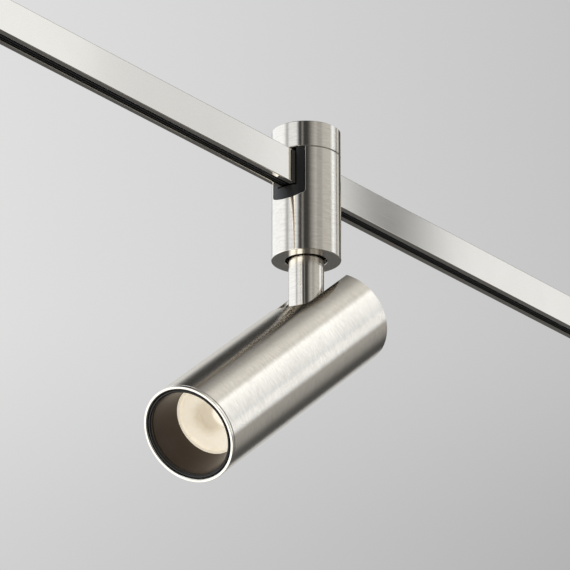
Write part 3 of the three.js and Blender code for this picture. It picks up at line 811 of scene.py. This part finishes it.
# ---- Adapter ----
ADAPTER_EDGE = 0.35 * MM
SLOT_HALF = 9.8 * MM
SLOT_SAG = 2.7 * MM
SLOT_CORNER = 0.8 * MM
WEB = 4.3 * MM
BOTTOM = 3.0 * MM
BORE = 14.5 * MM
BORE_HEIGHT = 20.9 * MM
STEM_HOLE = 10.5 * MM
WEB_HOLE = 2.6 * MM
WEB_HOLE_EDGE = 0.2 * MM
WEB_RIM = 1.4 * MM  # left flat round the web's hole, seen from the bore
FLOOR_STEPS = 12
CORNER_STEPS = 3
WEB_WINDOW = 3.2 * MM
WEB_CELLS = 4  # grid cells across the window round the web's hole
CAP_SCREW_HOLE = 1.55 * MM
CAP_SCREW_CLEARANCE = 2 * MM  # from the screw's end to the bottom of its hole
SCREW_STEPS = 16
ADAPTER_RIB_UVS = (-20 * MM, 50 * MM)  # UV places of the ribs at the top, clear of the others


def adapter_body():
    """A drum with a slot along X for the rail, a bore below it and a hole in the web between them."""
    low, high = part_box("adapter_body")
    radius = high.x
    bottom = low.z
    top = high.z
    bore_top = bottom + BOTTOM + BORE_HEIGHT
    floor = bore_top + WEB
    sag_radius = (SLOT_HALF ** 2 + SLOT_SAG ** 2) / (2 * SLOT_SAG)

    def floor_at(y):
        return floor + sag_radius - math.sqrt(sag_radius ** 2 - y * y)

    slope = math.asin(SLOT_HALF / sag_radius)
    reach_angle = slope - SLOT_CORNER / sag_radius
    arc = []
    for k in range(FLOOR_STEPS + 1):
        t = reach_angle * (2 * k / FLOOR_STEPS - 1)
        y = sag_radius * math.sin(t)
        arc.append((Vector((0, y, floor_at(y))), Vector((0, math.sin(t), -math.cos(t)))))
    wall_foot = floor_at(SLOT_HALF) + SLOT_CORNER
    outline = []
    for sign in (-1, 1):
        end_point, end_normal = arc[0] if sign < 0 else arc[-1]
        wall_point = Vector((0, sign * SLOT_HALF, wall_foot))
        wall_normal = Vector((0, sign, 0))
        corner = Vector((0, sign * SLOT_HALF, floor_at(SLOT_HALF)))
        points = bend(wall_point, corner, end_point, CORNER_STEPS)
        normals = [(wall_normal * (1 - t) + end_normal * t).normalized()
                   for t in (i / CORNER_STEPS for i in range(CORNER_STEPS + 1))]
        side = list(zip(points, normals))
        if sign < 0:
            outline = side + arc[1:]
        else:
            side.reverse()
            outline += side[1:]
    skin = Skin()
    wall_top = top - REAR_EDGE
    stations = [WEB_WINDOW * (1 - 2 * i / WEB_CELLS) for i in range(WEB_CELLS + 1)]

    def through_rib(y, z, ny, nz, u):
        """Corners from the +X wall, through the slot along X, to the -X wall."""
        size = SLOT_EDGE
        edge_y = y + size * ny
        edge_z = z + size * nz
        cut_normal = Vector((0, -ny, -nz))
        x = math.sqrt(radius ** 2 - edge_y ** 2)
        outer = Vector((x, edge_y, edge_z))
        corner_x = math.sqrt(radius ** 2 - y * y)
        corner = Vector((corner_x, y, z))
        inside = corner - Vector((size, 0, 0))
        points = bend(outer, corner, inside, ARC_STEPS)
        normals = turn_to(Vector((x, edge_y, 0)).normalized(), cut_normal, ARC_STEPS)
        half = list(zip(points, normals))
        middle_part = [(Vector((s, y, z)), cut_normal) for s in stations]
        mirrored = [(Vector((-p.x, p.y, p.z)), Vector((-n.x, n.y, n.z))) for p, n in reversed(half)]
        return [(p, n, (u, p.x)) for p, n in half + middle_part + mirrored]

    ribs = [through_rib(-SLOT_HALF, wall_top, -1, 0, ADAPTER_RIB_UVS[0])]
    for k, (point, normal) in enumerate(outline):
        ribs.append(through_rib(point.y, point.z, normal.y, normal.z, k * MM))
    ribs.append(through_rib(SLOT_HALF, wall_top, 1, 0, ADAPTER_RIB_UVS[1]))

    lower = len(ribs) // 2 - WEB_CELLS // 2
    upper = lower + WEB_CELLS
    near = ARC_STEPS + 1
    far = near + WEB_CELLS
    skin.grid(ribs, skip=lambda i, j: lower <= i < upper and near <= j < far)

    # The outer wall: below each end of the slot, and the whole quarter after it.
    # The slot's outline is the same on both sides of its middle, so its heights serve both ends.
    slot_angles = [math.asin((p.y + SLOT_EDGE * n.y) / radius) for p, n in outline]
    slot_tops = [p.z + SLOT_EDGE * n.z for p, n in outline]
    quarter = (SIDES - 2 * (len(outline) - 1)) // 2
    wall_base = bottom + ADAPTER_EDGE
    start = slot_angles[-1]
    turn = math.pi - 2 * start
    loop_angles = []
    for half_turn, sign, chord in ((0.0, 1, ribs[-1][::-1]), (math.pi, -1, ribs[0])):
        below = [half_turn + a for a in slot_angles]
        base_row = ring_row(radius, wall_base, 1, 0, wall_base, below)
        top_row = [(unit(a) * radius + UP * z, unit(a), (z, a * TURN_UV)) for a, z in zip(below, slot_tops)]
        skin.grid([base_row, top_row])
        sides = [half_turn + start + turn * j / quarter for j in range(quarter + 1)]
        rows = [ring_row(radius, z, 1, 0, z, sides) for z in (wall_base, wall_foot, wall_top)]
        skin.grid(rows)
        loop_angles += below[:-1] + sides[:-1]
        cheek_top(skin, rows[-1], chord, sign, REAR_EDGE, top)
    loop_angles.append(loop_angles[0] + 2 * math.pi)

    inside = [
        (radius, wall_foot), (radius, bottom), (STEM_HOLE, bottom), (STEM_HOLE, bottom + BOTTOM),
        (BORE, bottom + BOTTOM), (BORE, bore_top), (WEB_HOLE + WEB_RIM, bore_top),
    ]
    inside.reverse()
    chain = rounded(inside, ADAPTER_EDGE, closed=False)[:-1]
    rows = turned_rows(chain, loop_angles)
    skin.grid(rows)

    # The hole in the web, from the slot's floor to the bore
    border = [ribs[i][near] for i in range(lower, upper)]
    border += [ribs[upper][j] for j in range(near, far)]
    border += [ribs[i][far] for i in range(upper, lower, -1)]
    border += [ribs[lower][j] for j in range(far, near, -1)]
    border.sort(key=lambda c: math.atan2(c[0].y, c[0].x) % (2 * math.pi))
    hole_rows = []
    for k, corner in enumerate(border):
        angle = 2 * math.pi * k / len(border)
        out = unit(angle)
        top_edge = out * (WEB_HOLE + WEB_HOLE_EDGE)
        top_edge.z = floor_at(top_edge.y)
        rim = out * WEB_HOLE
        rim.z = floor_at(rim.y)
        wall_high = rim - UP * WEB_HOLE_EDGE
        wall_low = out * WEB_HOLE + UP * (bore_top + WEB_HOLE_EDGE)
        low_rim = out * WEB_HOLE + UP * bore_top
        low_edge = out * (WEB_HOLE + WEB_HOLE_EDGE) + UP * bore_top
        points = bend(top_edge, rim, wall_high, FINE_STEPS)
        points += bend(wall_low, low_rim, low_edge, FINE_STEPS)
        normals = turn_to(UP, -out, FINE_STEPS) + turn_to(-out, -UP, FINE_STEPS)
        hole_rows.append([corner, *down_the_hole(points, normals, angle)])
    skin.grid([*hole_rows, hole_rows[0]])
    bore_loop = rows[0]
    share = (len(bore_loop) - 1) // len(border)
    count = len(bore_loop) - 1
    offset = min(range(count), key=lambda j: abs(bore_loop[j][0].y) + (bore_loop[j][0].x < 0))
    for k in range(len(border)):
        stretch = [bore_loop[(offset + k * share + i) % count] for i in range(share + 1)]
        first_corner = hole_rows[k][-1]
        next_corner = hole_rows[(k + 1) % len(border)][-1]
        skin.face(facing_all([first_corner, *stretch, next_corner], -UP))
    piece = skin.make("adapter_shell", nickel)
    settle(piece, "adapter", "brushed_nickel", "adapter_body")


def cheek_top(skin, arc, chord, sign, size, top):
    """The flat top of the +Y cheek (sign 1) or the -Y one: rolled edges and a blind screw hole."""
    outer = roll(skin, arc, UP, size)
    inner = roll(skin, chord, UP, size)
    screw = middle("cap_screw_left").y * sign
    screw_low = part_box("cap_screw_left")[0].z - CAP_SCREW_CLEARANCE
    centre = Vector((0, screw, 0))
    circle = []
    for k in range(SCREW_STEPS + 1):
        angle = math.pi / 2 + 2 * math.pi * k / SCREW_STEPS
        out = unit(angle)
        wall = centre + out * CAP_SCREW_HOLE
        mouth = centre + out * (CAP_SCREW_HOLE + size) + UP * top
        points = bend(mouth, wall + UP * top, wall + UP * (top - size), FINE_STEPS)
        points.append(wall + UP * screw_low)
        normals = turn_to(UP, -out, FINE_STEPS) + [-out]
        circle.append(down_the_hole(points, normals, angle))
    skin.grid(circle)
    skin.face([(rib[-1][0], UP, (rib[-1][0].x, rib[-1][0].y)) for rib in circle[:-1]])
    half_arc = len(outer) // 2
    half_chord = len(inner) // 2
    half_hole = SCREW_STEPS // 2
    rims = [rib[0] for rib in circle]
    hole_first = rims[:half_hole + 1]
    hole_second = rims[half_hole:]
    if sign < 0:
        hole_first, hole_second = hole_second, hole_first
    # The arc runs from the end near +X (sign 1) or -X (sign -1), and the chord runs back
    one = [*outer[half_arc:], *inner[:half_chord + 1], *hole_first[::-1]]
    two = [*outer[:half_arc + 1], *hole_second[::-1], *inner[half_chord:]]
    skin.face(facing_all(one, UP))
    skin.face(facing_all(two, UP))


adapter_body()


# ---- CAD nodes that keep their shape: a copy with its flat faces joined and its edges rounded ----
FACES_AXIS = 0.7  # a face whose normal leans this much along the axis is an end face
MERGE_WITHIN = 0.001 * MM
FLAT_WITHIN = math.radians(1)
SHARP_OVER = math.radians(32)


def wrap_uvs(mesh, place):
    """UVs for brushed metal: u runs along the profile, v round the local Z axis."""
    inverse = place.inverted()
    turn = inverse.to_3x3()
    while mesh.uv_layers:
        mesh.uv_layers.remove(mesh.uv_layers[0])
    layer = mesh.uv_layers.new(name="surface")
    for polygon in mesh.polygons:
        flat = abs((turn @ polygon.normal).z) > FACES_AXIS
        centre = inverse @ polygon.center
        middle_angle = math.atan2(centre.y, centre.x)
        for index in polygon.loop_indices:
            point = inverse @ mesh.vertices[mesh.loops[index].vertex_index].co
            angle = math.atan2(point.y, point.x)
            angle += round((middle_angle - angle) / (2 * math.pi)) * 2 * math.pi
            along = math.hypot(point.x, point.y) if flat else point.z
            layer.data[index].uv = (along, angle * TURN_UV)


def refined(node, material, slot, edge, place=ADAPTER):
    """A finished copy of a CAD node, in the local frame that its grain runs round."""
    mesh = nodes[node].data.copy()
    mesh.name = f"{node}_finished"
    work = bmesh.new()
    work.from_mesh(mesh)
    bmesh.ops.remove_doubles(work, verts=work.verts, dist=MERGE_WITHIN)
    bmesh.ops.dissolve_limit(work, angle_limit=FLAT_WITHIN, verts=work.verts, edges=work.edges)
    bmesh.ops.recalc_face_normals(work, faces=work.faces)
    work.to_mesh(mesh)
    work.free()
    mesh.materials.clear()
    mesh.materials.append(material)
    for polygon in mesh.polygons:
        polygon.use_smooth = True
        polygon.material_index = 0
    wrap_uvs(mesh, place)
    mesh.transform(place.inverted())
    piece = bpy.data.objects.new(f"{node}_finished", mesh)
    scene.collection.objects.link(piece)
    piece.matrix_world = place
    rounding = piece.modifiers.new("edges", "BEVEL")
    rounding.width = edge
    rounding.segments = FINE_STEPS
    rounding.limit_method = "ANGLE"
    rounding.angle_limit = SHARP_OVER
    weighted = piece.modifiers.new("normals", "WEIGHTED_NORMAL")
    weighted.keep_sharp = False
    settle(piece, nodes[node]["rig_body"], slot, node)


def dress(node, material):
    """A carried-over CAD node in its own shape."""
    data = nodes[node].data
    data.materials.clear()
    data.materials.append(material)


CAP_EDGE = 0.3 * MM
STEM_EDGE = 0.25 * MM
SMALL_EDGE = 0.15 * MM
refined("adapter_cap", nickel, "brushed_nickel", CAP_EDGE)
refined("stem", nickel, "brushed_nickel", STEM_EDGE)

REFINED = [
    (black, "black_plastic", ADAPTER, [
        "adapter_insert", "clamp_pad", "driver_choke", "swivel_washer_lower", "swivel_washer_upper",
    ]),
    (black, "black_plastic", HEAD, ["lens_holder", "hinge_bracket", "rear_cover"]),
    (insulation, "track_insulation", ADAPTER, ["track_insulator"]),
    (steel, "steel", ADAPTER, [
        "cap_screw_left", "cap_screw_right", "swivel_retainer", "swivel_stop", "stem_collar",
        "driver_capacitor",
    ]),
    (steel, "steel", HEAD, [
        "pivot_pin", "pivot_nut", "tilt_washer_left", "tilt_washer_right", "bracket_screw_left",
        "bracket_screw_right", "housing_grub_screw",
    ]),
    (aluminium, "bare_aluminium", HEAD, ["heat_sink", "led_board"]),
    (board, "circuit_board", ADAPTER, ["driver_board"]),
    (phosphor, "led_phosphor", HEAD, ["led_chip"]),
]
for material, slot, place, names in REFINED:
    for node in names:
        refined(node, material, slot, SMALL_EDGE, place)

DRESSED = [
    (copper, [
        "track_conductor_left", "track_conductor_right", "contact_blade_left", "contact_blade_right",
    ]),
    (lead, ["supply_lead_left", "supply_lead_right", "lamp_lead_left", "lamp_lead_right"]),
]
for material, names in DRESSED:
    for node in names:
        dress(node, material)


# ---- Clamp spring: a round wire in a helix ----
SPRING_TURNS = 3
SPRING_STEPS = 36  # along each turn
WIRE_SIDES = 12
WIRE = 0.5 * MM  # half its thickness


def clamp_spring():
    low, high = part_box("clamp_spring")
    radius = (high.y - low.y) / 2 - WIRE
    first = low.z + WIRE
    last = high.z - WIRE
    count = SPRING_TURNS * SPRING_STEPS
    skin = Skin()
    rows = []
    for i in range(count + 1):
        angle = 2 * math.pi * i / SPRING_STEPS
        out = unit(angle)
        centre = out * radius + UP * (first + (last - first) * i / count)
        row = []
        for k in range(WIRE_SIDES):
            turn = 2 * math.pi * k / WIRE_SIDES
            normal = out * math.cos(turn) + UP * math.sin(turn)
            row.append((centre + normal * WIRE, normal, (i * MM, k * MM)))
        rows.append(row)
    skin.grid(rows, closed=True)
    for row, side in ((rows[0], -1), (rows[-1], 1)):
        end = Vector((0, side, 0))
        skin.face([(point, end, uv) for point, _, uv in row])
    piece = skin.make("clamp_coil", steel)
    settle(piece, "adapter", "steel", "clamp_spring")
    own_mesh(piece)


clamp_spring()


# ---- Camera: it looks up at the adapter's foot, from below and in front ----
def direction_of(azimuth, elevation):
    """The unit vector towards an azimuth and an elevation, in degrees."""
    a = math.radians(azimuth)
    e = math.radians(elevation)
    return Vector((math.cos(a) * math.cos(e), math.sin(a) * math.cos(e), math.sin(e)))


def across(azimuth):
    """The level unit vector to the left of an azimuth, in degrees."""
    a = math.radians(azimuth)
    return Vector((-math.sin(a), math.cos(a), 0))


HEADING = 36.21  # azimuth of the view, degrees
ELEVATION = 20.99  # how far it looks up, degrees
DISTANCE = 2.1799
FOCAL_LENGTH = 276.7  # millimetres
AIM_LEFT = 10.56 * MM
AIM_BELOW = 11.79 * MM
VIEW_FORWARD = direction_of(HEADING, ELEVATION)
VIEW_RIGHT = -across(HEADING)
VIEW_UP = VIEW_RIGHT.cross(VIEW_FORWARD)


def camera():
    base = Vector((0, 0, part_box("adapter_body")[0].z))
    aim = base - VIEW_RIGHT * AIM_LEFT - VIEW_UP * AIM_BELOW
    data = bpy.data.cameras.new("camera")
    data.lens = FOCAL_LENGTH
    data.sensor_width = 36
    data.clip_start = 0.05
    data.clip_end = 100
    view = bpy.data.objects.new("camera", data)
    scene.collection.objects.link(view)
    view.location = aim - VIEW_FORWARD * DISTANCE
    view.rotation_mode = "QUATERNION"
    view.rotation_quaternion = VIEW_FORWARD.to_track_quat("-Z", "Y")
    scene.camera = view


camera()


# ---- Studio: soft boxes in the world's light, and a pale backdrop for the camera ----
def soft_box(tree, ray, azimuth, elevation, width, height, soft, lean=0.0):
    """How much of a soft-edged box, centred on a direction, a ray meets. Angles in degrees."""
    centre = direction_of(azimuth, elevation)
    level = across(azimuth)
    upright = centre.cross(level)
    tilt = math.radians(lean)
    sideways = level * math.cos(tilt) + upright * math.sin(tilt)
    upward = upright * math.cos(tilt) - level * math.sin(tilt)
    ahead = vector_node(tree, "DOT_PRODUCT", ray, centre)
    edge = math.radians(soft / 2)
    factors = []
    for vector, size in ((sideways, width), (upward, height)):
        aside = vector_node(tree, "DOT_PRODUCT", ray, vector)
        angle = math_node(tree, "ABSOLUTE", math_node(tree, "ARCTAN2", aside, ahead))
        half = math.radians(size / 2)
        factors.append(remap(tree, angle, 1.0, 0.0, True, (max(half - edge, 0), half + edge)))
    return math_node(tree, "MULTIPLY", factors[0], factors[1])


COOL = (1.0, 1.055, 1.13)
PLAIN = (1.0, 1.0, 0.98)
# Azimuth, elevation, width, height, softness and lean in degrees, strength, colour
SOFT_BOXES = [
    (106, 12, 78, 100, 24, 0, 1.10, COOL),  # big wall of light on the far left
    (171.5, 12, 32, 100, 12, 0, 0.88, COOL),  # its narrower neighbour
    (176, -28, 34, 34, 10, 0, 1.05, PLAIN),  # low box that fills the rail's underside
    (126, -38, 56, 40, 24, 0, 1.10, PLAIN),  # low box that the lamp's mouth faces
    (-156, 15, 6, 90, 4, 0, 0.20, PLAIN),  # slit between the dark flags
    (-87, 22, 76, 100, 20, 0, 0.38, PLAIN),  # grey wall towards the camera
    (-74, 22, 28, 100, 6, 0, 0.15, PLAIN),  # a lighter band on it
    (-112, 22, 8, 100, 6, 0, 0.10, PLAIN),  # and a faint one
    (-42, 28, 19, 47, 8, 23, 1.04, COOL),  # strip light
    (-38, 14, 8, 9, 6, 23, 0.36, PLAIN),  # brighter spot low on it
    (-14, 22, 13, 26, 10, 0, 0.72, PLAIN),  # its faint neighbour
    (-25, 2, 36, 24, 20, 0, 0.30, PLAIN),  # glow low on the right
    (38, 22, 40, 56, 8, 0, 0.62, PLAIN),  # the backdrop itself
    (-46, 66, 54, 32, 20, 0, 0.36, PLAIN),  # ceiling bounce
]
# Azimuth, elevation, width, height and softness in degrees, and the share of the light they take away
FLAGS = [
    (-34.75, 22, 0.95, 60, 0.8, 0.82),  # dark card that the rail shows to the right of the adapter
    (-37.75, 22, 2.1, 60, 0.5, 0.20),  # thin net that it shows to the left
]
AMBIENT = 0.05
FLOOR_BOUNCE = 0.12
HORIZON = 0.1  # half height of the blend between them
# The wall behind, as the camera sees it, with painted shade: darker on the right than on the left, and
# darker at its foot
WALL_LEFT = 0.735
WALL_RIGHT = 0.562
WALL_HALF_WIDTH = 0.065  # sine of the angle from its middle to its side
FOOT_SHADE = 0.11  # how much painted shade darkens it at its foot
FOOT_DEPTH = 0.075  # sine of the angle from its middle to its foot


def world():
    studio = bpy.data.worlds.new("studio")
    scene.world = studio
    studio.use_nodes = True
    tree = studio.node_tree
    tree.nodes.clear()
    ray = add(tree, "ShaderNodeTexCoord").outputs["Generated"]
    total = None
    for azimuth, elevation, width, height, soft, lean, strength, colour in SOFT_BOXES:
        amount = soft_box(tree, ray, azimuth, elevation, width, height, soft, lean)
        light = vector_node(tree, "SCALE", [strength * c for c in colour], amount)
        total = light if total is None else vector_node(tree, "ADD", total, light)
    for azimuth, elevation, width, height, soft, share in FLAGS:
        amount = soft_box(tree, ray, azimuth, elevation, width, height, soft)
        total = vector_node(tree, "SCALE", total, remap(tree, amount, 1.0, 1.0 - share))
    rise = vector_node(tree, "DOT_PRODUCT", ray, UP)
    bounce = remap(tree, rise, FLOOR_BOUNCE, AMBIENT, True, (-HORIZON, HORIZON))
    lit = add(tree, "ShaderNodeBackground")
    lighting = vector_node(tree, "ADD", total, combine(tree, bounce, bounce, bounce))
    tree.links.new(lighting, lit.inputs["Color"])

    # What the camera sees behind everything: a pale wall with painted shade, a little darker to the right
    # and below
    rightward = vector_node(tree, "DOT_PRODUCT", ray, VIEW_RIGHT)
    upward = vector_node(tree, "DOT_PRODUCT", ray, VIEW_UP)
    wall = remap(tree, rightward, WALL_LEFT, WALL_RIGHT, False, (-WALL_HALF_WIDTH, WALL_HALF_WIDTH))
    foot_shade = remap(tree, upward, -FOOT_SHADE, 0.0, True, (-FOOT_DEPTH, 0.0))
    value = math_node(tree, "ADD", wall, foot_shade)
    seen = add(tree, "ShaderNodeBackground")
    tree.links.new(combine(tree, value, value, value), seen.inputs["Color"])
    path = add(tree, "ShaderNodeLightPath")
    mix = add(tree, "ShaderNodeMixShader")
    tree.links.new(path.outputs["Is Camera Ray"], mix.inputs[0])
    tree.links.new(lit.outputs[0], mix.inputs[1])
    tree.links.new(seen.outputs[0], mix.inputs[2])
    output = add(tree, "ShaderNodeOutputWorld")
    tree.links.new(mix.outputs[0], output.inputs["Surface"])


world()

FLOOR_DROP = 2.2
FLOOR_HALF = 30.0


def floor():
    data = bpy.data.meshes.new("floor")
    z = cad_box[0][2] - FLOOR_DROP
    corners = [(x * FLOOR_HALF, y * FLOOR_HALF, z) for x, y in ((-1, -1), (1, -1), (1, 1), (-1, 1))]
    data.from_pydata(corners, [], [(0, 1, 2, 3)])
    data.materials.append(moulded("pale_floor", (0.78, 0.78, 0.78), (0.80, 0.80, 0.80), 0.8, grain=30.0))
    piece = bpy.data.objects.new("floor", data)
    scene.collection.objects.link(piece)
    piece.visible_glossy = False


floor()
